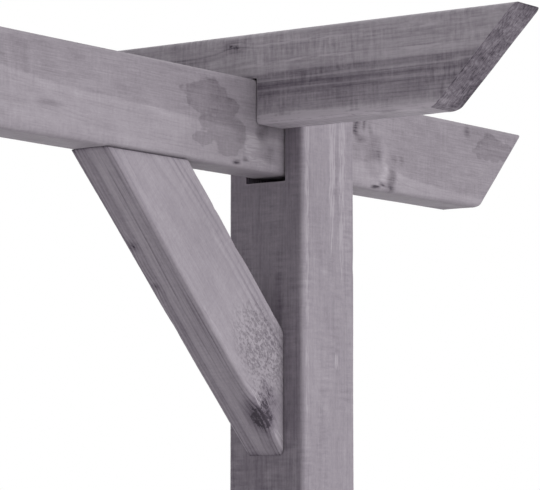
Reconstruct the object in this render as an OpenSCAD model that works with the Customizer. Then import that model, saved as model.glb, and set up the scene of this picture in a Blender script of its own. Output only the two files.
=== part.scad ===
// One-bay wooden pergola: two slotted posts carry a main beam on edge, a notched cross arm
// rides on the beam against each post, and a mitred brace stiffens each corner.
// Origin: centre of the left post's foot. +X runs along the beam, +Z is up.

/* [Posts] */
// Side of the square posts
post_w = 90; // [70:1:140]
// Height of the posts above the ground
post_h = 2155; // [1800:5:2600]
// Clear width of the passage between the posts
passage_w = 1500; // [900:10:2400]
// Rounding of the posts' long edges
post_edge_r = 4.5; // [2:0.5:8]

/* [Main beam] */
// Thickness of the beam, across the passage
beam_t = 45; // [35:1:60]
// Height of the beam, which stands on edge
beam_h = 90; // [70:1:140]
// Length of beam past each post's outer face, measured at the tip
beam_overhang = 360; // [200:10:500]
// Space left beside the beam in the slot, both sides together
slot_play = 2; // [1:0.5:4]
// Space left under the beam at the bottom of the slot
slot_drop = 5; // [2:0.5:10]

/* [Cross arms] */
// Thickness of a cross arm, along the beam
arm_t = 45; // [35:1:60]
// Height of a cross arm
arm_h = 90; // [70:1:140]
// Length of a cross arm from tip to tip
arm_len = 634; // [500:2:1000]
// Depth of the notch that drops over the beam
notch_depth = 45; // [25:1:55]
// Space left beside the beam in the notch, both sides together
notch_play = 1; // [0.5:0.5:3]
// Gap between a cross arm and its post
arm_gap = 1.5; // [0.5:0.5:5]

/* [Braces] */
// Thickness of a brace
brace_t = 45; // [35:1:60]
// Depth of a brace, measured square to its length
brace_h = 88; // [60:1:100]
// Distance that a brace reaches along the beam and down the post
brace_reach = 274; // [220:1:400]

/* [Edges and ends] */
// Rounding of the long edges of the beam, arms and braces
edge_r = 5; // [2:0.5:8]
// Slope of the end cuts, measured from the horizontal
end_angle = 45; // [40:1:65]
// Radius of the rounded nose under each end cut
nose_r = 16; // [8:1:30]

/* [Hidden] */
$fn = 48;

post_pitch = passage_w + post_w;
beam_len = post_pitch + post_w + 2 * beam_overhang;
beam_top = post_h;
beam_bottom = beam_top - beam_h;
slot_w = beam_t + slot_play;
slot_floor = beam_bottom - slot_drop;
arm_bottom = beam_top - notch_depth;
notch_w = beam_t + notch_play;
arm_x = post_w / 2 + arm_gap + arm_t / 2;
past = 1;

// Square or oblong section centred on the origin, with its corners rounded.
module timber_section(across, tall, r) {
    square([across - 2 * r, tall], center = true);
    square([across, tall - 2 * r], center = true);
    for (sx = [-1, 1], sy = [-1, 1])
        translate([sx * (across / 2 - r), sy * (tall / 2 - r)])
            circle(r);
}

// Straight timber lying along X from x = 0, centred in Y and standing on z = 0.
module timber(len, thick, tall, r) {
    translate([0, 0, tall / 2])
        rotate([90, 0, 90])
            linear_extrude(len)
                timber_section(thick, tall, r);
}

// Side view, in X and Z, of a timber whose two ends are cut back towards the bottom.
// The corner between each end cut and the underside is an arc tangent to both.
module end_cut_outline(len, tall) {
    set_back = tall / tan(end_angle);
    tangent = nose_r * tan(end_angle / 2);
    difference() {
        polygon([[0, tall], [set_back, 0], [len - set_back, 0], [len, tall]]);
        for (side = [0, 1])
            translate([side * len, 0])
                mirror([side, 0])
                    difference() {
                        polygon([
                            [set_back - tangent * cos(end_angle), tangent * sin(end_angle)],
                            [set_back, 0],
                            [set_back + tangent, 0],
                            [set_back + tangent, nose_r]
                        ]);
                        translate([set_back + tangent, nose_r])
                            circle(nose_r);
                    }
    }
}

// Beam or arm blank along X, centred in Y, with both end cuts made.
module cut_timber(len, thick, tall) {
    intersection() {
        timber(len, thick, tall, edge_r);
        translate([0, thick, 0])
            rotate([90, 0, 0])
                linear_extrude(2 * thick)
                    end_cut_outline(len, tall);
    }
}

// Post standing on the ground, with the open slot that takes the beam.
module post() {
    color("#8d8690")
        difference() {
            linear_extrude(post_h)
                timber_section(post_w, post_w, post_edge_r);
            translate([-post_w / 2 - past, -slot_w / 2, slot_floor])
                cube([post_w + 2 * past, slot_w, post_h - slot_floor + past]);
        }
}

// Main beam, centred over both posts and resting between their cheeks.
module main_beam() {
    color("#9a939c")
        translate([(post_pitch - beam_len) / 2, 0, beam_bottom])
            cut_timber(beam_len, beam_t, beam_h);
}

// Cross arm along Y, notched from below so that it rides on the beam.
module cross_arm() {
    color("#7b7480")
        difference() {
            rotate([0, 0, 90])
                translate([-arm_len / 2, 0, arm_bottom])
                    cut_timber(arm_len, arm_t, arm_h);
            translate([-arm_t / 2 - past, -notch_w / 2, arm_bottom - past])
                cube([arm_t + 2 * past, notch_w, notch_depth + past]);
        }
}

// Brace for the left post: a rounded timber laid along the slope, cut upright against
// the post and level under the beam.
module brace() {
    foot_x = post_w / 2;
    color("#948d97")
        intersection() {
            translate([foot_x, 0, beam_bottom - brace_reach])
                rotate([0, -45, 0])
                    translate([-brace_reach, 0, 0])
                        timber(3 * brace_reach, brace_t, brace_h, edge_r);
            translate([foot_x, -brace_t, beam_bottom - 2 * brace_reach])
                cube([2 * brace_reach, 2 * brace_t, 2 * brace_reach]);
        }
}

// Places a left-hand piece at the right-hand post.
module at_right() {
    translate([post_pitch, 0, 0])
        mirror([1, 0, 0])
            children();
}

post();  // left_post
translate([post_pitch, 0, 0]) post();  // right_post
main_beam();
translate([arm_x, 0, 0]) cross_arm();  // left_cross_arm
at_right() translate([arm_x, 0, 0]) cross_arm();  // right_cross_arm
brace();  // left_brace
at_right() brace();  // right_brace
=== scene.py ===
import math

import bpy
import numpy as np
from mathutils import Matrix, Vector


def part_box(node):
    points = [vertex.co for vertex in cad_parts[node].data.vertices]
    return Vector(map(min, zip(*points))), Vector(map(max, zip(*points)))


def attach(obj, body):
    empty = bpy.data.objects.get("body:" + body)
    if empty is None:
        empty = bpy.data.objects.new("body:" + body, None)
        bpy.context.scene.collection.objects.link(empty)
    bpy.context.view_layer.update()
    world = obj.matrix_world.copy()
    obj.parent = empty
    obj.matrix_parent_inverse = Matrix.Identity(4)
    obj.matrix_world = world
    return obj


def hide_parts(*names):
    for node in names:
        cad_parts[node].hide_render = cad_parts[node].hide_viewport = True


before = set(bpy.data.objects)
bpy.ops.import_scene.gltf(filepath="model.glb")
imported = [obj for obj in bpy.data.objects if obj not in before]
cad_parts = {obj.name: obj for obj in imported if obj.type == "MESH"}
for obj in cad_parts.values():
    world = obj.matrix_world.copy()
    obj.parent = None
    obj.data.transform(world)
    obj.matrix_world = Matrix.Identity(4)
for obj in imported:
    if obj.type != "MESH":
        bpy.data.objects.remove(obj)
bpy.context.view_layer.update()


# Posts. Two 90 mm square posts of planed spruce, run through a four-sided planer that rounds
# their arrises, then sawn at the head with an open slot for the beam. They were dipped in a
# grey translucent stain, so the grain still shows through it.
POST_RADIUS = 4.5
SLOT_WIDTH = 47.0
SLOT_DROP = 5.0
SIDE_SCREW_HEIGHT = 1853.0
REAR_SCREW_HEIGHTS = (2092.0, 2128.0)
ARRIS_STEPS = 5
DENTS = 7
END_ZONE = 190.0


def millimetres(node):
    """Lowest and highest corner of a CAD node, in millimetres."""
    low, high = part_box(node)
    return np.array(low) * 1000, np.array(high) * 1000


def steps_between(stops, steps):
    """Places along a line: each stretch between two stops in equal steps no longer than its own."""
    runs = [np.array(stops[:1], float)]
    for start, stop, step in zip(stops, stops[1:], steps):
        count = max(1, math.ceil((stop - start) / step))
        runs.append(np.linspace(start, stop, count + 1)[1:])
    return np.concatenate(runs)


def face_levels(low, high, radius, step, saw_lines=()):
    """Places across a face. On an arris they lie at radius * tan(angle) for equal angles up to
    45 degrees, so that they land evenly on the arc. The flat between is cut into equal steps."""
    arc = radius * (1 - np.tan(np.radians(np.linspace(45, 0, ARRIS_STEPS))))
    stops = [low + radius, *saw_lines, high - radius]
    flat = steps_between(stops, [step] * (len(stops) - 1))
    return np.concatenate([low + arc[:-1], flat, high - arc[-2::-1]])


def skin_of_cells(levels, sawn_out):
    """Faces between wood and air in a block of cells, as lattice places, with each face's axis.

    The block is cut by the three lists of levels, and sawn_out tells which cell centres are gone.
    A wall stands wherever wood changes along an axis. Its corners go round so that it faces the air."""
    centres = np.meshgrid(*[(line[1:] + line[:-1]) / 2 for line in levels], indexing="ij")
    wood = ~sawn_out(*centres)
    shape = [len(line) for line in levels]
    quads, axes = [], []
    for axis in range(3):
        first, second = (axis + 1) % 3, (axis + 2) % 3
        padded = np.pad(wood, [(1, 1) if n == axis else (0, 0) for n in range(3)])
        change = np.diff(padded.astype(np.int8), axis=axis)
        for sign in (-1, 1):
            cell = np.argwhere(change == sign)
            corner = np.repeat(cell[:, None, :], 4, axis=1)
            corner[:, :, first] += np.array([0, 1, 1, 0])
            corner[:, :, second] += np.array([0, 0, 1, 1])
            corner = corner if sign < 0 else corner[:, ::-1]
            quads.append(np.ravel_multi_index(np.moveaxis(corner, 2, 0), shape))
            axes.append(np.full(len(cell), axis))
    used, faces = np.unique(np.concatenate(quads), return_inverse=True)
    places = np.stack(np.unravel_index(used, shape), axis=1)
    points = np.stack([line[places[:, n]] for n, line in enumerate(levels)], axis=1)
    return points, faces.reshape(-1, 4), np.concatenate(axes)


def round_arrises(points, low, high, radius):
    """Section points moved off the sharp box: nearest point of the box shrunk by the radius, plus
    the offset from it times its larger part over its length. Returns them and how far round an
    arris each lies, 0 on a flat and 1 in the middle of the arc."""
    section = points[:, 1:]
    core = np.clip(section, np.array(low) + radius, np.array(high) - radius)
    offset = section - core
    larger = np.abs(offset).max(axis=1)
    smaller = np.abs(offset).min(axis=1)
    length = np.hypot(offset[:, 0], offset[:, 1])
    rounded = points.copy()
    rounded[:, 1:] = core + offset * (larger / np.maximum(length, 1e-9))[:, None]
    return rounded, smaller / np.maximum(larger, 1e-9)


def swell(points, scale, seed):
    """Smooth seeded noise of about unit size: twelve sine waves of random heading, one scale long."""
    draw = np.random.default_rng(seed)
    heading = draw.normal(size=(12, 3))
    heading *= 2 * np.pi / np.linalg.norm(heading, axis=1)[:, None]
    phase = draw.uniform(0, 2 * np.pi, 12)
    return np.sin(points / np.array(scale) @ heading.T + phase).sum(axis=1) / math.sqrt(6)


def growth_rings(points, pith, lean, knots, seed):
    """Distance from the pith in millimetres, and the nearest knot: its strength at its heart, one
    less at its rim.

    The pith is a line at (across, up), leaning by so much a millimetre and wandering slowly. A
    knot pushes the rings out by a bell of its distance, so that the grain flows round it. Each
    knot is (middle, its three half widths, strength)."""
    along = points[:, 0]
    wander = np.stack([swell(points * [1, 0, 0], (700, 1, 1), seed + n) for n in (1, 2)], axis=1)
    from_pith = points[:, 1:] - pith - np.outer(along, lean) - 2.5 * wander
    rings = np.hypot(from_pith[:, 0], from_pith[:, 1])
    rings = rings + 0.5 * swell(points, (240, 26, 26), seed + 3)
    heart = np.full(len(points), -1.0)
    for where, size, strength in knots:
        away = np.linalg.norm((points - where) / size, axis=1)
        rings += 0.5 * min(size) * np.exp(-((away / 1.6) ** 2))
        heart = np.maximum(heart, strength - away)
    return rings, heart


def drying_checks(points, checks):
    """Depth of the drying cracks: a V across the grain that wavers by 0.7 mm, deepest half way
    along its length. Each is (middle, length, half width, depth, axis of the normal, slope)."""
    depth = np.zeros(len(points))
    for middle, length, half_width, deepest, axis, slope in checks:
        apart = points - middle
        other = 3 - axis
        run = apart[:, 0] / (length / 2)
        bend = 0.7 * np.sin(points[:, 0] / 9.0)
        across = np.abs(apart[:, other] - slope * apart[:, 0] - bend) / half_width
        near = (np.abs(apart[:, axis]) < 4) & (np.abs(run) < 1)
        depth += deepest * near * np.clip(1 - across, 0, 1) * (1 - run**2)
    return depth


def handling_dents(points, arris, count, seed):
    """Depth of small dents knocked into the arrises: shallow bells at random places."""
    draw = np.random.default_rng(seed)
    on_arris = np.flatnonzero(arris > 0.8)
    depth = np.zeros(len(points))
    for place in points[draw.choice(on_arris, count)]:
        size = draw.uniform(2.0, 5.0)
        away = np.linalg.norm((points - place) / [size * 2.2, size, size], axis=1)
        depth += draw.uniform(0.3, 0.7) * np.exp(-(away**2))
    return depth


def screw_holes(points, screws):
    """Depth of the countersunk holes: 2 mm at the axis of each screw, up a steep wall to nothing
    at 5.2 mm from it. Each screw is (place on the face, axis of the face's normal)."""
    depth = np.zeros(len(points))
    for place, axis in screws:
        apart = points - place
        on_face = np.abs(apart[:, axis]) < 1
        apart[:, axis] = 0
        depth += 2.0 * on_face * np.clip((5.2 - np.linalg.norm(apart, axis=1)) / 1.0, 0, 1)
    return depth


def nearness(points, spots):
    """How far inside the nearest of some ellipsoids each point is: 1 in a middle, 0 on a rim."""
    inside = np.full(len(points), -1.0)
    for where, size in spots:
        inside = np.maximum(inside, 1 - np.linalg.norm((points - where) / size, axis=1))
    return inside


def extra_stain_and_painted_shade(points, rings, painted_shade_faces, bands, smudges_and_painted_shade):
    """Extra darkness that a timber's colour holds: painted shade on whole faces, fading over 6 mm, and
    stain between two ring radii, fading over 0.8 mm. Soft-edged smudges, bent by slow noise, turn paler by
    their amount, or darker where it is below zero; some of the darker ones are painted shade."""
    stain_and_painted_shade = np.zeros(len(points))
    # Whole faces darkened in colour: painted shade.
    for axis, side, amount in painted_shade_faces:
        stain_and_painted_shade += amount * np.clip(1 - np.abs(points[:, axis] - side) / 6.0, 0, 1)
    for inner, outer, amount in bands:
        stain_and_painted_shade += amount * np.clip((rings - inner) / 0.8, 0, 1) * np.clip((outer - rings) / 0.8, 0, 1)
    for where, size, amount in smudges_and_painted_shade:
        bent = points + 0.16 * np.array(size) * swell(points, (32, 17, 17), 77)[:, None]
        stain_and_painted_shade -= amount * np.clip(1.4 * nearness(bent, [(where, size)]), 0, 1)
    return stain_and_painted_shade


def planed_timber(name, levels, radius, place, pith, lean, knots=(), checks=(), stains=(), torn=(),
                  painted_shade_faces=(), bands=(), smudges_and_painted_shade=(), end_stain_and_joint_shade=0.1, screws=(), sawn_out=None,
                  end_cut=None, ripple=12.0, seed=1):
    """One planed timber as a closed mesh. Levels run along it, across it and up it, in millimetres.

    Skin of cells, arrises rounded, ends set back by end_cut(up) and easing out over END_ZONE, then
    sunk by its relief along the normals: planer ripple, rings, knots, torn grain, checks, dents
    and screw holes. The planed faces darken towards the ends, fading by a factor e each 2.2 mm:
    stain drawn in by the end grain, and painted shade along a joint where that darkening is strong.
    place is (origin, along, across, up) in the shared frame."""
    low = [levels[1][0], levels[2][0]]
    high = [levels[1][-1], levels[2][-1]]
    if sawn_out is None:
        def sawn_out(along, across, up):
            return np.zeros(along.shape, bool)

    points, faces, axes = skin_of_cells(levels, sawn_out)
    flat = points[faces].mean(axis=1)
    skin = np.zeros(len(faces), bool)
    for axis in (1, 2):
        edge = np.isclose(flat[:, axis], levels[axis][0]) | np.isclose(flat[:, axis], levels[axis][-1])
        skin |= (axes == axis) & edge
    points, arris = round_arrises(points, low, high, radius)
    from_end = np.minimum(points[:, 0], levels[0][-1] - points[:, 0])
    if end_cut is not None:
        start = np.clip(1 - points[:, 0] / END_ZONE, 0, 1)
        finish = np.clip(1 - (levels[0][-1] - points[:, 0]) / END_ZONE, 0, 1)
        points[:, 0] += (start - finish) * end_cut(points[:, 2])

    rings, heart = growth_rings(points, np.array(pith), lean, knots, seed)
    sawn = np.zeros(len(points))
    planed = np.zeros(len(points))
    sawn[faces[~skin].ravel()] = 1.0
    planed[faces[skin].ravel()] = 1.0
    rim = sawn * planed
    arris = arris * (1 - sawn)
    patch = nearness(points, stains)
    rough = np.clip(nearness(points, torn), 0, 1)
    # Extra darkness in the colour: stain, and painted shade on whole faces, in some smudges and along the
    # brace ends where they meet post and beam.
    stain_and_painted_shade = extra_stain_and_painted_shade(points, rings, painted_shade_faces, bands, smudges_and_painted_shade) * (1 - sawn)
    stain_and_painted_shade += end_stain_and_joint_shade * np.exp(-from_end / 2.2) * planed

    # Relief in millimetres, always inwards. The skin ends at least 0.06 mm inside the sharp part.
    knotty = np.clip(heart + 0.15, 0, 0.4)
    depth = 0.14 + 0.05 * swell(points, (260, 30, 30), seed + 5)
    depth += 0.06 * np.sin(rings * 2 * np.pi / 8.5) * (1 - sawn)
    depth += 0.03 * np.sin(points[:, 0] * 2 * np.pi / ripple) * (1 - sawn)
    depth += arris * (0.14 + 0.08 * swell(points, (75, 12, 12), seed + 6))
    depth += 0.05 * sawn * (1 - planed) * swell(points, (7, 5, 5), seed + 7)
    depth += rim * 0.5
    depth += knotty * (0.3 + 0.9 * swell(points, (5, 4, 4), seed + 8))
    depth += 0.9 * np.minimum(rough, 0.5) * np.clip(swell(points, (7, 4, 4), seed + 9), -0.3, 1.4)
    depth += drying_checks(points, checks)
    depth += handling_dents(points, arris, DENTS, seed + 10)
    depth += screw_holes(points, screws)

    origin, *directions = [np.array(vector, float) for vector in place]
    mesh = bpy.data.meshes.new(name)
    world = origin + points @ np.array(directions)
    mesh.from_pydata(world / 1000, [], faces)
    mesh.update()
    normal = np.zeros(len(points) * 3)
    mesh.vertex_normals.foreach_get("vector", normal)
    world -= normal.reshape(-1, 3) * np.clip(depth, 0.06, None)[:, None]
    mesh.vertices.foreach_set("co", (world / 1000).ravel())
    mesh.attributes.new("timber", "FLOAT_VECTOR", "POINT").data.foreach_set("vector", points.ravel())
    for label, values in (("rings", rings), ("knot", heart), ("arris", arris), ("patch", patch),
                          ("stain_and_painted_shade", stain_and_painted_shade), ("torn", rough)):
        mesh.attributes.new(label, "FLOAT", "POINT").data.foreach_set("value", values)
    mesh.attributes.new("sawn", "FLOAT", "FACE").data.foreach_set("value", 1.0 - skin)
    mesh.shade_smooth()
    mesh.set_sharp_from_angle(angle=math.radians(34))
    mesh.update()
    piece = bpy.data.objects.new(name, mesh)
    bpy.context.scene.collection.objects.link(piece)
    return piece


def linear(hex_colour):
    """sRGB hex to the linear colour that a shader takes."""
    parts = [int(hex_colour[n:n + 2], 16) / 255 for n in (1, 3, 5)]
    return [c / 12.92 if c <= 0.04045 else ((c + 0.055) / 1.055) ** 2.4 for c in parts] + [1.0]


def add(tree, kind, inputs=None, **settings):
    """Adds a node, sets its settings, and sets or links its inputs. Returns its first output,
    which an output node lacks."""
    made = tree.nodes.new("ShaderNode" + kind)
    for key, value in settings.items():
        setattr(made, key, value)
    for key, value in (inputs or {}).items():
        if isinstance(value, bpy.types.NodeSocket):
            tree.links.new(value, made.inputs[key])
        else:
            made.inputs[key].default_value = value
    return made.outputs[0] if made.outputs else None


def stained_softwood(name, light, dark, ring_width=3.4, figure=1.0, chatter=1.0, cloud=1.0):
    """Planed spruce under a grey translucent stain. The grain is read from the timber's own
    attributes, in millimetres. Late wood lies as thin darker lines, the stain is uneven between
    bands and in clouds, the planer leaves broken bars across, and end grain drinks more stain."""
    material = bpy.data.materials.new(name)
    material.use_nodes = True
    tree = material.node_tree
    tree.nodes.clear()

    # A smooth map takes its value as input 0, the range it comes from as inputs 1 and 2, and the
    # range it goes to as inputs 3 and 4.
    smooth = {"interpolation_type": "SMOOTHSTEP"}
    times = {"operation": "MULTIPLY"}
    times_plus = {"operation": "MULTIPLY_ADD"}

    own = {}
    for label, output in (("timber", "Vector"), ("rings", "Fac"), ("knot", "Fac"), ("sawn", "Fac"),
                          ("arris", "Fac"), ("stain_and_painted_shade", "Fac"), ("patch", "Fac"), ("torn", "Fac")):
        own[label] = add(tree, "Attribute", attribute_name=label).node.outputs[output]

    # Noises about zero. One over a scale is the size of a feature in millimetres along the
    # timber, across it and up it, so most of them are drawn out along the grain.
    noise = {}
    for label, scale, detail, roughness in (
            ("wobble", (0.012, 0.09, 0.09), 3.0, 0.5),
            ("fading", (0.006, 0.05, 0.05), 2.0, 0.5),
            ("fibre", (0.022, 0.75, 0.75), 3.0, 0.65),
            ("streak", (0.007, 0.22, 0.22), 3.0, 0.6),
            ("clouds", (0.009, 0.02, 0.02), 4.0, 0.6),
            ("mottle", (0.05, 0.11, 0.11), 4.0, 0.65),
            ("bars", (0.26, 0.04, 0.04), 3.0, 0.6),
            ("bar_gaps", (0.012, 0.05, 0.05), 2.0, 0.5),
            ("speckle", (0.3, 0.4, 0.4), 2.0, 0.5),
            ("flakes", (0.05, 0.55, 0.55), 2.0, 0.5),
            ("ragged", (0.032, 0.07, 0.07), 3.0, 0.45),
            ("crumble", (0.16, 0.2, 0.2), 5.0, 0.72),
            ("veins", (0.13, 0.17, 0.17), 2.0, 0.5),
            ("pits", (0.3, 0.6, 0.55), 3.0, 0.6),
            ("pores", (0.16, 0.6, 0.16), 4.0, 0.7)):
        place = add(tree, "VectorMath", {0: own["timber"], 1: scale}, **times)
        made = add(tree, "TexNoise", {
            "Vector": place, "Scale": 1.0, "Detail": detail, "Roughness": roughness})
        noise[label] = add(tree, "Math", {0: made, 1: 0.5}, operation="SUBTRACT")

    # Growth rings: a slow rise to late wood and a sharp end, each ring of its own strength, and
    # broader bands of a few rings that took the stain alike.
    bent = add(tree, "Math", {0: noise["wobble"], 1: 1.8, 2: own["rings"]}, **times_plus)
    rings = add(tree, "Math", {0: bent, 1: ring_width}, operation="DIVIDE")
    year = add(tree, "Math", {0: rings}, operation="FRACT")
    by_ring = {}
    for label, scale, detail in (("strength", 0.37, 1.0), ("band", 0.16, 3.0)):
        turn = add(tree, "Math", {0: rings, 1: scale}, **times)
        by_ring[label] = add(tree, "TexNoise", {"W": turn, "Scale": 1.0, "Detail": detail},
                             noise_dimensions="1D")
    late = add(tree, "MapRange", {0: year, 1: 0.3, 2: 0.84, 3: 0.0, 4: 1.0}, **smooth)
    sharp_end = add(tree, "MapRange", {0: year, 1: 0.88, 2: 1.0, 3: 1.0, 4: 0.0}, **smooth)
    strength = add(tree, "MapRange", {0: by_ring["strength"], 1: 0.38, 2: 0.66, 3: 0.1, 4: 1.0}, **smooth)
    fading = add(tree, "MapRange", {0: noise["fading"], 1: -0.18, 2: 0.12, 3: 0.25, 4: 1.0}, **smooth)
    for part in (sharp_end, strength, fading):
        late = add(tree, "Math", {0: late, 1: part}, **times)
    band = add(tree, "MapRange", {0: by_ring["band"], 1: 0.3, 2: 0.7, 3: -0.5, 4: 0.5}, **smooth)

    # The planer's broken bars. The extra darkness, of stain and painted shade, follows the fibre; the paler
    # smudges show in flakes.
    unbroken = add(tree, "MapRange", {0: noise["bar_gaps"], 1: -0.14, 2: 0.16, 3: 0.25, 4: 1.0}, **smooth)
    bars = add(tree, "Math", {0: noise["bars"], 1: unbroken}, **times)
    darker_stain_and_painted_shade = add(tree, "Math", {0: own["stain_and_painted_shade"], 1: 0.0}, operation="MAXIMUM")
    along_fibre = add(tree, "Math", {0: noise["fibre"], 1: 1.0, 2: 1.0}, **times_plus)
    smudges_and_painted_shade = add(tree, "Math", {0: own["stain_and_painted_shade"], 1: 0.0}, operation="MINIMUM")
    flakes = add(tree, "MapRange", {0: noise["flakes"], 1: -0.08, 2: 0.08, 3: 0.15, 4: 1.9}, **smooth)

    # Patches that took more stain, with a ragged rim and a paler middle.
    patch = add(tree, "Math", {0: noise["ragged"], 1: 2.2, 2: own["patch"]}, **times_plus)
    in_patch = add(tree, "MapRange", {0: patch, 1: 0.08, 2: 0.24, 3: 0.0, 4: 1.0}, **smooth)
    patch_dark = add(tree, "MapRange", {0: patch, 1: 0.3, 2: 0.9, 3: 0.22, 4: 0.14}, **smooth)

    # Knots: a dark, cracked heart, a broken rim and a soft halo. Torn grain lies round some.
    knot = add(tree, "Math", {0: noise["crumble"], 1: 1.3, 2: own["knot"]}, **times_plus)
    heart = add(tree, "MapRange", {0: knot, 1: -0.08, 2: 0.3, 3: 0.0, 4: 1.0}, **smooth)
    heart_dark = add(tree, "Math", {0: noise["crumble"], 1: 1.2, 2: 0.24}, **times_plus)
    halo = add(tree, "MapRange", {0: own["knot"], 1: -1.0, 2: 0.25, 3: 0.0, 4: 0.3}, **smooth)
    along_streak = add(tree, "Math", {0: noise["streak"], 1: 2.0, 2: 1.0}, **times_plus)
    vein = add(tree, "Math", {0: noise["veins"]}, operation="ABSOLUTE")
    cracks = add(tree, "MapRange", {0: vein, 1: 0.0, 2: 0.028, 3: 1.0, 4: 0.0}, **smooth)
    cracks = add(tree, "Math", {0: cracks, 1: heart}, **times)
    pits = add(tree, "Math", {0: own["torn"], 1: 0.05, 2: noise["pits"]}, **times_plus)
    pits = add(tree, "MapRange", {0: pits, 1: 0.0, 2: 0.16, 3: -0.15, 4: 1.0}, **smooth)
    in_torn = add(tree, "MapRange", {0: own["torn"], 1: 0.0, 2: 0.7, 3: 0.0, 4: 1.0}, **smooth)
    pits = add(tree, "Math", {0: pits, 1: in_torn}, **times)

    # Arrises are rubbed paler, and sawn ends are rougher and show broken open grain.
    wear = add(tree, "MapRange", {0: noise["mottle"], 1: -0.15, 2: 0.1, 3: 0.3, 4: 1.0}, **smooth)
    worn = add(tree, "Math", {0: own["arris"], 1: wear}, **times)
    open_grain = add(tree, "Math", {0: noise["pores"], 1: 1.2, 2: 0.42}, **times_plus)
    open_pores = add(tree, "Math", {0: own["sawn"], 1: noise["pores"]}, **times)

    # How dark the colour reads, painted shade included: 0 is the light colour, 0.8 the dark one, and 1 a
    # knot's heart.
    tone = 0.3
    for value, weight in (
            (late, 0.34 * figure), (band, 0.3 * figure), (noise["clouds"], 0.62 * cloud),
            (noise["mottle"], 0.5 * cloud), (noise["streak"], 0.17), (noise["fibre"], 0.24),
            (noise["speckle"], 0.22), (bars, 0.75 * chatter), (darker_stain_and_painted_shade, along_fibre),
            (smudges_and_painted_shade, flakes), (in_patch, patch_dark), (halo, along_streak), (heart, heart_dark),
            (cracks, 0.5), (pits, 0.26), (worn, -0.1), (own["sawn"], open_grain)):
        tone = add(tree, "Math", {0: value, 1: weight, 2: tone}, **times_plus)
    colour = add(tree, "ValToRGB", {0: tone})
    ramp = colour.node.color_ramp
    ramp.elements[0].color = linear(light)
    ramp.elements[1].color = linear(dark)
    ramp.elements[1].position = 0.8
    ramp.elements.new(1.0).color = linear("#423b45")

    height = 0.0
    for value, weight in (
            (noise["fibre"], -1.2), (late, 0.5), (bars, 1.2 * chatter), (cracks, -3.0),
            (pits, -4.5), (open_pores, 2.2)):
        height = add(tree, "Math", {0: value, 1: weight, 2: height}, **times_plus)
    bump = add(tree, "Bump", {"Height": height, "Strength": 0.6, "Distance": 0.00035})
    sheen = add(tree, "Math", {0: late, 1: -0.3, 2: noise["fibre"]}, **times_plus)
    roughness = add(tree, "MapRange", {0: sheen, 1: -0.3, 2: 0.3, 3: 0.52, 4: 0.74}, **smooth)
    shader = add(tree, "BsdfPrincipled", {
        "Base Color": colour, "Roughness": roughness, "Normal": bump,
        "IOR": 1.45, "Specular IOR Level": 0.3})
    add(tree, "OutputMaterial", {"Surface": shader})
    return material


def finish_piece(piece, material, node):
    """Gives a timber its stain, hangs it under the root body, and hides the CAD node that it stands for."""
    piece.data.materials.append(material)
    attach(piece, "root")
    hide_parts(node)


post_looks = {
    "left_post": dict(
        # Its inner face, towards the right post, is darkened in colour as painted shade.
        pith=(6.0, 38.0), lean=(0.002, -0.003), seed=210, painted_shade_faces=[(1, 45.0, 0.2)],
        knots=[((640.0, -45.0, 40.0), (10.0, 16.0, 9.0), 1.0),
               ((1370.0, 12.0, 0.0), (12.0, 10.0, 18.0), 1.0),
               ((1710.0, 45.0, 30.0), (9.0, 14.0, 8.0), 1.0),
               ((300.0, -10.0, 90.0), (13.0, 11.0, 18.0), 1.0)]),
    "right_post": dict(
        # Its inner face, towards the left post, is darkened in colour as painted shade.
        pith=(-9.0, 58.0), lean=(0.001, 0.002), seed=110, painted_shade_faces=[(1, -45.0, 0.2)],
        # The first smudge is painted shade too, on the lower part of that inner face round the brace's
        # foot.
        smudges_and_painted_shade=[((1740.0, -45.0, 45.0), (170.0, 12.0, 90.0), -0.14),
                ((2080.0, 6.0, 0.0), (80.0, 6.0, 12.0), 0.6),
                ((1885.0, 13.0, 0.0), (9.0, 3.0, 6.0), 0.7),
                ((2090.0, -37.0, 0.0), (420.0, 4.5, 8.0), 0.25),
                ((2060.0, 22.0, 0.0), (110.0, 6.0, 12.0), 0.35),
                ((1958.0, -45.0, 28.5), (40.0, 6.0, 5.0), -0.2)],
        knots=[((1180.0, 10.0, 0.0), (13.0, 11.0, 18.0), 1.0),
               ((720.0, -45.0, 52.0), (10.0, 16.0, 9.0), 1.0),
               ((1560.0, 45.0, 60.0), (9.0, 14.0, 8.0), 1.0),
               ((410.0, -16.0, 90.0), (14.0, 12.0, 18.0), 1.0)]),
}
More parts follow.
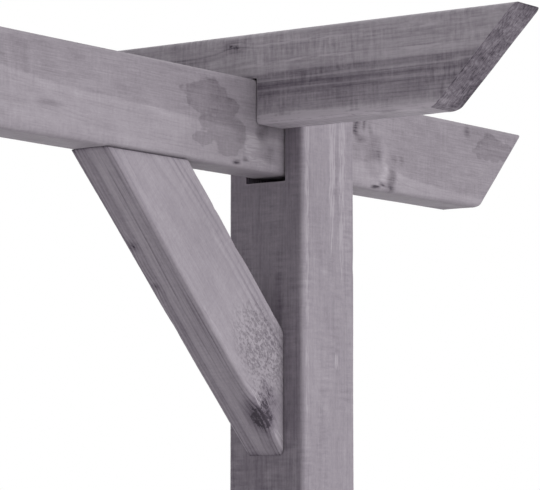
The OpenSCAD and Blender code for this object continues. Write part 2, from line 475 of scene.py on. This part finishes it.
for node, looks in post_looks.items():
    low, high = millimetres(node)
    width = high[0] - low[0]
    slot_floor = millimetres("main_beam")[0][2] - SLOT_DROP
    slot_side = (width - SLOT_WIDTH) / 2
    outer_face = -width / 2 if node == "left_post" else width / 2
    rear_screws = [((height, 0.0, width), 2) for height in REAR_SCREW_HEIGHTS]

    def in_slot(along, across, up):
        return (along > slot_floor) & (np.abs(up - width / 2) < SLOT_WIDTH / 2)

    # Cells are 9 mm long in the plain lower part, and finer above, where the joints are.
    levels = [
        steps_between([0.0, 1500.0, slot_floor, high[2]], [9.0, 3.2, 3.2]),
        face_levels(-width / 2, width / 2, POST_RADIUS, 2.4),
        face_levels(0.0, width, POST_RADIUS, 2.4, [slot_side, width - slot_side]),
    ]
    post = planed_timber(
        node + "_timber", levels, POST_RADIUS,
        place=[((low[0] + high[0]) / 2, low[1], low[2]), (0, 0, 1), (1, 0, 0), (0, 1, 0)],
        checks=[((1650.0, width / 2, 44.0), 260.0, 1.7, 2.6, 1, 0.004),
                ((520.0, -8.0, width), 420.0, 1.9, 3.2, 2, -0.003),
                ((900.0, -width / 2, 60.0), 180.0, 1.6, 2.2, 1, 0.0)],
        screws=[((SIDE_SCREW_HEIGHT, outer_face, width / 2), 1), *rear_screws],
        sawn_out=in_slot, ripple=14.0, **looks)
    finish = stained_softwood("grey_stained_spruce_" + node, "#a8a1a9", "#6b636e", ring_width=3.2,
                              figure=0.35, chatter=0.85, cloud=0.75)
    finish_piece(post, finish, node)


# Main beam. One 45 x 90 mm planed spruce timber on edge, dropped into both slots. Its ends are
# cut back at 45 degrees, with the sharp lower corner rounded over.
BEAM_RADIUS = 5.0
END_SLOPE = math.radians(45)
NOSE_RADIUS = 16.0
BRACE_SCREWS_ALONG = (662.0, 1738.0)


def set_back(up, tall):
    """How far an end cut stands back from the tip at a height: a straight slope from the top,
    which an arc tangent to the slope and to the underside takes over near the bottom."""
    tangent = NOSE_RADIUS * math.tan(END_SLOPE / 2)
    slope = (tall - up) / math.tan(END_SLOPE)
    rise = np.clip(NOSE_RADIUS - up, 0, NOSE_RADIUS)
    foot = tall / math.tan(END_SLOPE) + tangent
    arc = foot - np.sqrt(np.maximum(NOSE_RADIUS**2 - rise**2, 0))
    return np.where(up < tangent * math.sin(END_SLOPE), arc, slope)


low, high = millimetres("main_beam")
length, thick, tall = high - low
beam = planed_timber(
    "main_beam_timber",
    [steps_between([0.0, 900.0, 1500.0, 1850.0, 2170.0, length], [3.8, 12.0, 3.8, 2.4, 3.8]),
     face_levels(-thick / 2, thick / 2, BEAM_RADIUS, 2.2),
     face_levels(0.0, tall, BEAM_RADIUS, 2.0)],
    BEAM_RADIUS,
    place=[(low[0], 0, low[2]), (1, 0, 0), (0, 1, 0), (0, 0, 1)],
    pith=(34.0, 238.0), lean=(0.0, -0.062),
    knots=[((1597.0, -22.5, 30.0), (24.0, 9.0, 6.0), 0.15),
           ((2122.0, -22.5, 30.0), (20.0, 14.0, 30.0), -0.45),
           ((760.0, 22.5, 55.0), (13.0, 30.0, 11.0), 1.0),
           ((1180.0, -22.5, 40.0), (12.0, 14.0, 10.0), 1.0),
           ((330.0, -22.5, 34.0), (10.0, 12.0, 8.0), 1.0),
           ((980.0, 4.0, 0.0), (10.0, 8.0, 14.0), 1.0)],
    checks=[((1300.0, 22.5, 52.0), 240.0, 1.6, 2.4, 1, -0.01),
            ((1050.0, 2.0, 90.0), 300.0, 1.7, 2.8, 2, 0.003)],
    stains=[((1826.0, -22.5, 62.0), (40.0, 20.0, 20.0)), ((1852.0, -22.5, 40.0), (36.0, 20.0, 30.0)),
            ((2336.0, -22.5, 65.0), (46.0, 12.0, 15.0)), ((640.0, 22.5, 40.0), (70.0, 20.0, 26.0))],
    # The underside is darkened in colour as painted shade.
    bands=[(40.0, 103.0, 0.18), (40.0, 72.0, 0.04)], painted_shade_faces=[(2, 0.0, 0.14)],
    smudges_and_painted_shade=[((1440.0, -22.5, 45.0), (190.0, 20.0, 90.0), -0.12),
            ((1897.0, -22.5, 24.0), (14.0, 12.0, 20.0), 0.3),
            ((1915.0, -22.5, 42.0), (14.0, 10.0, 16.0), -0.32),
            ((1930.0, -22.5, 18.0), (18.0, 12.0, 14.0), -0.34),
            ((1908.0, -22.5, 8.0), (16.0, 12.0, 6.0), 0.2),
            ((1873.0, -22.5, 5.0), (9.0, 6.0, 2.4), -0.8),
            ((1884.0, -22.5, 8.5), (8.0, 6.0, 2.4), -0.8),
            ((2141.0, -22.5, 16.0), (10.0, 8.0, 24.0), -0.5),
            ((2110.0, -22.5, 34.0), (22.0, 8.0, 30.0), -0.22),
            ((2127.0, -22.5, 34.0), (10.0, 8.0, 30.0), 0.2),
            ((2076.0, -22.5, 62.0), (8.0, 8.0, 12.0), -0.42),
            ((2090.0, -22.5, 68.0), (5.0, 8.0, 10.0), -0.4),
            ((2082.0, -22.5, 50.0), (14.0, 8.0, 5.0), -0.34),
            ((2102.0, -22.5, 62.0), (5.0, 8.0, 12.0), -0.3),
            ((2110.0, -22.5, 4.0), (9.0, 7.0, 2.4), -0.8),
            ((2121.0, -22.5, 7.0), (7.0, 7.0, 2.4), -0.8),
            ((2131.0, -22.5, 6.0), (17.0, 7.0, 7.0), -0.35),
            ((2157.0, -22.5, 35.0), (8.0, 8.0, 6.0), -0.25),
            ((2287.0, -22.5, 80.0), (8.0, 8.0, 10.0), -0.3),
            ((1530.0, -22.5, 66.0), (12.0, 8.0, 3.0), -0.25)],
    screws=[((along, 0.0, tall), 2) for along in BRACE_SCREWS_ALONG],
    end_cut=lambda up: set_back(up, tall), ripple=12.0, seed=320)
finish = stained_softwood("grey_stained_spruce_main_beam", "#b0a9b1", "#766f77", ring_width=3.0,
                          figure=0.22, chatter=0.5, cloud=0.65)
finish_piece(beam, finish, "main_beam")


# Cross arms. Two 45 x 90 mm timbers, notched from below to half their height, so that each drops
# over the beam beside its post. Their grain is bolder and they took the stain darker.
NOTCH_WIDTH = 46.0
NOTCH_DEPTH = 45.0
ARM_SCREW_OFFSETS = (-11, 11)
arm_looks = {
    "left_cross_arm": dict(
        pith=(-30.0, 128.0), lean=(0.0, 0.02), seed=430, bands=[(80.0, 92.0, 0.2)],
        knots=[((140.0, 22.5, 52.0), (11.0, 14.0, 9.0), 1.0),
               ((505.0, -22.5, 60.0), (10.0, 12.0, 8.0), 1.0)]),
    "right_cross_arm": dict(
        pith=(-16.0, 121.0), lean=(0.0, 0.006), seed=440,
        bands=[(84.5, 91.0, 0.2), (92.0, 99.5, 0.28), (101.0, 107.0, 0.22), (76.0, 77.4, -0.26),
               (60.3, 61.7, -0.2), (107.0, 122.0, 0.14), (0.0, 84.5, -0.05)],
        smudges_and_painted_shade=[((317.0, 20.0, 2.0), (300.0, 10.0, 9.0), 0.32),
                ((440.0, 22.5, 75.0), (130.0, 14.0, 60.0), -0.17)],
        knots=[((320.0, 22.5, 78.0), (14.0, 10.0, 8.0), 0.42), ((36.0, 12.5, 30.0), (14.0, 9.0, 12.0), 0.1),
               ((560.0, -22.5, 40.0), (11.0, 12.0, 9.0), 1.0)]),
}
for node, looks in arm_looks.items():
    low, high = millimetres(node)
    thick, length, tall = high - low
    middle = length / 2

    def in_notch(along, across, up):
        return (np.abs(along - middle) < NOTCH_WIDTH / 2) & (up < NOTCH_DEPTH)

    notch_sides = [middle - NOTCH_WIDTH / 2, middle + NOTCH_WIDTH / 2]
    arm = planed_timber(
        node + "_timber",
        [steps_between([0.0, *notch_sides, length], [2.1, 2.1, 2.1]),
         face_levels(-thick / 2, thick / 2, BEAM_RADIUS, 2.2),
         face_levels(0.0, tall, BEAM_RADIUS, 1.9, [NOTCH_DEPTH])],
        BEAM_RADIUS,
        place=[((low[0] + high[0]) / 2, low[1], low[2]), (0, 1, 0), (-1, 0, 0), (0, 0, 1)],
        checks=[((470.0, -thick / 2, 50.0), 120.0, 1.5, 2.2, 1, 0.01),
                ((300.0, 6.0, tall), 200.0, 1.6, 2.4, 2, -0.004)],
        screws=[((middle + offset, 0.0, tall), 2) for offset in ARM_SCREW_OFFSETS],
        sawn_out=in_notch, end_cut=lambda up: set_back(up, tall), ripple=11.0, **looks)
    finish = stained_softwood("grey_stained_spruce_" + node, "#bab3bb", "#675f6a", ring_width=3.6,
                              figure=0.6, chatter=1.3, cloud=0.75)
    finish_piece(arm, finish, node)


# Braces. Two 45 x 90 mm timbers mitred at both ends, one face upright against the post and one
# level under the beam, and screwed through both.
BRACE_DEPTH = 88.0
brace_looks = {
    "left_brace": dict(
        # Its underside is darkened in colour as painted shade.
        pith=(40.0, 8.0), lean=(0.01, 0.03), seed=550, painted_shade_faces=[(2, 0.0, 0.14)],
        knots=[((240.0, -22.5, 30.0), (11.0, 14.0, 9.0), 1.0)],
        checks=[((190.0, -22.5, 58.0), 90.0, 1.4, 2.0, 1, 0.02)]),
    "right_brace": dict(
        # Its underside is darkened in colour as painted shade.
        pith=(84.0, 28.0), lean=(0.0, 0.01), seed=560, painted_shade_faces=[(2, 0.0, 0.14)],
        knots=[((50.0, 22.0, 5.0), (16.0, 13.0, 13.0), 1.0), ((270.0, -13.0, 0.0), (9.0, 6.0, 5.0), 0.35),
               ((220.0, -13.0, 0.0), (7.0, 5.0, 5.0), 0.25)],
        smudges_and_painted_shade=[((14.0, 22.5, 7.0), (18.0, 8.0, 7.0), 0.5), ((68.0, 22.5, 8.0), (14.0, 6.0, 5.0), 0.5),
                ((150.0, 22.5, 5.0), (80.0, 8.0, 5.0), 0.1), ((56.0, 22.5, 26.0), (26.0, 6.0, 10.0), -0.3),
                ((45.0, 10.0, 0.0), (60.0, 14.0, 8.0), -0.15)],
        checks=[((300.0, -22.5, 40.0), 100.0, 1.4, 2.0, 1, 0.01)],
        torn=[((98.0, 22.5, 46.0), (72.0, 14.0, 46.0)), ((66.0, 22.5, 22.0), (30.0, 14.0, 22.0))]),
}
for node, looks in brace_looks.items():
    low, high = millimetres(node)
    reach, thick, _ = high - low
    way = 1.0 if node == "left_brace" else -1.0
    foot = (low[0] if way > 0 else high[0], 0.0, low[2])
    length = reach * math.sqrt(2)
    half = math.sqrt(0.5)
    brace = planed_timber(
        node + "_timber",
        [steps_between([0.0, length], [1.5]),
         face_levels(-thick / 2, thick / 2, BEAM_RADIUS, 1.9),
         face_levels(0.0, BRACE_DEPTH, BEAM_RADIUS, 1.7)],
        BEAM_RADIUS,
        place=[foot, (way * half, 0, half), (0, way, 0), (-way * half, 0, half)],
        # The planed faces darken strongly along both ends: a little stain drawn in by the end grain, mostly
        # painted shade where the brace meets the post and the beam.
        end_cut=lambda up: up, end_stain_and_joint_shade=0.55, ripple=10.0, **looks)
    finish = stained_softwood("grey_stained_spruce_" + node, "#b0a9b1", "#6c646f", ring_width=4.0,
                              figure=1.1, chatter=0.35, cloud=0.5)
    finish_piece(brace, finish, node)


# Screws. Zinc-plated countersunk wood screws with a six-lobed drive, sunk just below the faces
# that don't show from the passage: two down through each cross arm, two through the rear of
# each post into the beam, and one into each end of each brace.
def screw_heads(name, places):
    """Countersunk heads as one mesh, in millimetres. Each is a closed surface of revolution: down
    the drive's wall, whose radius is 2.2 * (1 + 0.14 cos(6 angle)), across the flat rim, then down
    the cone. Each place is (point on the face, outward direction, a direction across it)."""
    sunk = 0.15
    rim, drive, shank = 4.6, 2.2, 2.5
    steps = 48
    angle = np.linspace(0, 2 * np.pi, steps, endpoint=False)
    lobes = drive * (1 + 0.14 * np.cos(6 * angle))
    radii = [0.05 * lobes, 0.9 * lobes, lobes, 1.06 * lobes, rim - 0.3 + 0 * angle,
             rim + 0 * angle, shank + 0 * angle, 0.1 + 0 * angle]
    heights = np.array([-1.6, -1.5, -0.12, 0.0, 0.0, -0.2, -3.2, -3.2]) - sunk
    rows = np.array([[r * np.cos(angle), r * np.sin(angle), h + 0 * r] for r, h in zip(radii, heights)])
    head = rows.transpose(0, 2, 1).reshape(-1, 3)
    ring, step = np.meshgrid(np.arange(len(radii) - 1), np.arange(steps), indexing="ij")
    here, after = ring * steps + step, ring * steps + (step + 1) % steps
    walls = np.stack([here, here + steps, after + steps, after], axis=-1).reshape(-1, 4).tolist()
    caps = [list(range(steps)), list(range(len(head) - steps, len(head)))[::-1]]
    points, faces = [], []
    for number, (place, outward, across) in enumerate(places):
        turn = np.array([across, np.cross(outward, across), outward], float)
        points.append(place + head @ turn)
        faces += [[corner + number * len(head) for corner in face] for face in walls + caps]
    mesh = bpy.data.meshes.new(name)
    mesh.from_pydata(np.concatenate(points) / 1000, [], faces)
    mesh.shade_smooth()
    mesh.set_sharp_from_angle(angle=math.radians(30))
    mesh.update()
    piece = bpy.data.objects.new(name, mesh)
    bpy.context.scene.collection.objects.link(piece)
    return piece


# Bright zinc plate on steel: pale grey metal with soft glints, dulled by blooms about 1 mm across.
zinc = bpy.data.materials.new("bright_zinc_plate")
zinc.use_nodes = True
tree = zinc.node_tree
tree.nodes.clear()
metres = add(tree, "TexCoord").node.outputs["Object"]
bloom = add(tree, "TexNoise", {"Vector": metres, "Scale": 900.0, "Detail": 3.0})
dull = add(tree, "MapRange", {0: bloom, 1: 0.35, 2: 0.65, 3: 0.28, 4: 0.46})
shader = add(tree, "BsdfPrincipled", {
    "Base Color": linear("#b9bcc0"), "Metallic": 1.0, "Roughness": dull})
add(tree, "OutputMaterial", {"Surface": shader})

beam_low, beam_high = millimetres("main_beam")
arm_places, slot_places, brace_places = [], [], []
for side in ("left", "right"):
    arm_low, arm_high = millimetres(side + "_cross_arm")
    post_low, post_high = millimetres(side + "_post")
    arm_axis = (arm_low[0] + arm_high[0]) / 2
    post_axis = (post_low[0] + post_high[0]) / 2
    outer = -1 if side == "left" else 1
    for offset in ARM_SCREW_OFFSETS:
        arm_places.append(((arm_axis, offset, arm_high[2]), (0, 0, 1), (1, 0, 0)))
    for height in REAR_SCREW_HEIGHTS:
        slot_places.append(((post_axis, post_high[1], height), (0, 1, 0), (1, 0, 0)))
    outer_face = post_axis + outer * (post_high[0] - post_low[0]) / 2
    brace_places.append(((outer_face, 0, SIDE_SCREW_HEIGHT), (outer, 0, 0), (0, 1, 0)))
for along in BRACE_SCREWS_ALONG:
    brace_places.append(((beam_low[0] + along, 0, beam_high[2]), (0, 0, 1), (1, 0, 0)))
for name, places in (("arm_screws", arm_places), ("post_head_screws", slot_places),
                     ("brace_screws", brace_places)):
    screws = screw_heads(name, places)
    screws.data.materials.append(zinc)
    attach(screws, "root")


# Floor. A plain studio floor at the foot of the posts, which isn't part of the object. It is of
# matt white paper, which shows a soft shadow and no gleam.
FLOOR_HALF = 30.0
floor_mesh = bpy.data.meshes.new("studio_floor")
floor_corners = [(-1, -1, 0), (1, -1, 0), (1, 1, 0), (-1, 1, 0)]
floor_mesh.from_pydata(np.array(floor_corners) * FLOOR_HALF, [], [(0, 1, 2, 3)])
floor = bpy.data.objects.new("studio_floor", floor_mesh)
bpy.context.scene.collection.objects.link(floor)
paper = bpy.data.materials.new("matt_white_paper")
paper.use_nodes = True
paper.node_tree.nodes["Principled BSDF"].inputs["Base Color"].default_value = linear("#f2f1f2")
paper.node_tree.nodes["Principled BSDF"].inputs["Roughness"].default_value = 0.95
floor.data.materials.append(paper)


# Light. A white room gives even light from all round. A broad soft lamp in front and a weaker
# one behind, both high and a little to the right, shape the upright faces. The room itself shows
# as plain white.
ROOM_LIGHT = 0.42
world = bpy.data.worlds.new("white_room")
bpy.context.scene.world = world
world.use_nodes = True
tree = world.node_tree
tree.nodes.clear()
ray = add(tree, "LightPath").node.outputs
seen = add(tree, "Math", {0: ray["Is Camera Ray"], 1: ray["Is Glossy Ray"]}, operation="MAXIMUM")
seen = add(tree, "Math", {0: seen, 1: ray["Is Transmission Ray"]}, operation="MAXIMUM")
room = add(tree, "Background", {"Color": (1, 1, 1, 1), "Strength": ROOM_LIGHT})
white = add(tree, "Background", {"Color": (1, 1, 1, 1), "Strength": 1.0})
mixed = add(tree, "MixShader", {0: seen, 1: room, 2: white})
add(tree, "OutputWorld", {"Surface": mixed})

for name, turn, strength, spread_angle in (
        ("front_lamp", (62, 0, 14), 1.75, 50), ("back_lamp", (58, 0, 158), 0.7, 60)):
    lamp = bpy.data.lights.new(name, "SUN")
    lamp.energy = strength
    lamp.angle = math.radians(spread_angle)
    holder = bpy.data.objects.new(name, lamp)
    holder.rotation_euler = [math.radians(angle) for angle in turn]
    bpy.context.scene.collection.objects.link(holder)


# Camera. A long lens at eye height, in front of the portal and to its left, looking up a little
# at the right post's head. Its place is measured in millimetres from that post's axis and from
# the cross arm's underside, and its yaw from the beam towards the rear.
LENS = 193.94
LEFT_OF_POST = 2339.5
IN_FRONT = 1676.7
BELOW_ARM = 389.8
PITCH = 5.58
YAW = 36.063
low, high = millimetres("right_post")
arm_under = millimetres("right_cross_arm")[0][2]
camera = bpy.data.cameras.new("camera")
camera.sensor_width = 36.0
camera.lens = LENS
camera.clip_end = 100.0
viewer = bpy.data.objects.new("camera", camera)
post_axis = (low[0] + high[0]) / 2
viewer.location = np.array([post_axis - LEFT_OF_POST, -IN_FRONT, arm_under - BELOW_ARM]) / 1000
viewer.rotation_euler = [math.radians(90 + PITCH), 0, math.radians(YAW - 90)]
bpy.context.scene.collection.objects.link(viewer)
bpy.context.scene.camera = viewer
bpy.context.scene.view_settings.view_transform = "Standard"
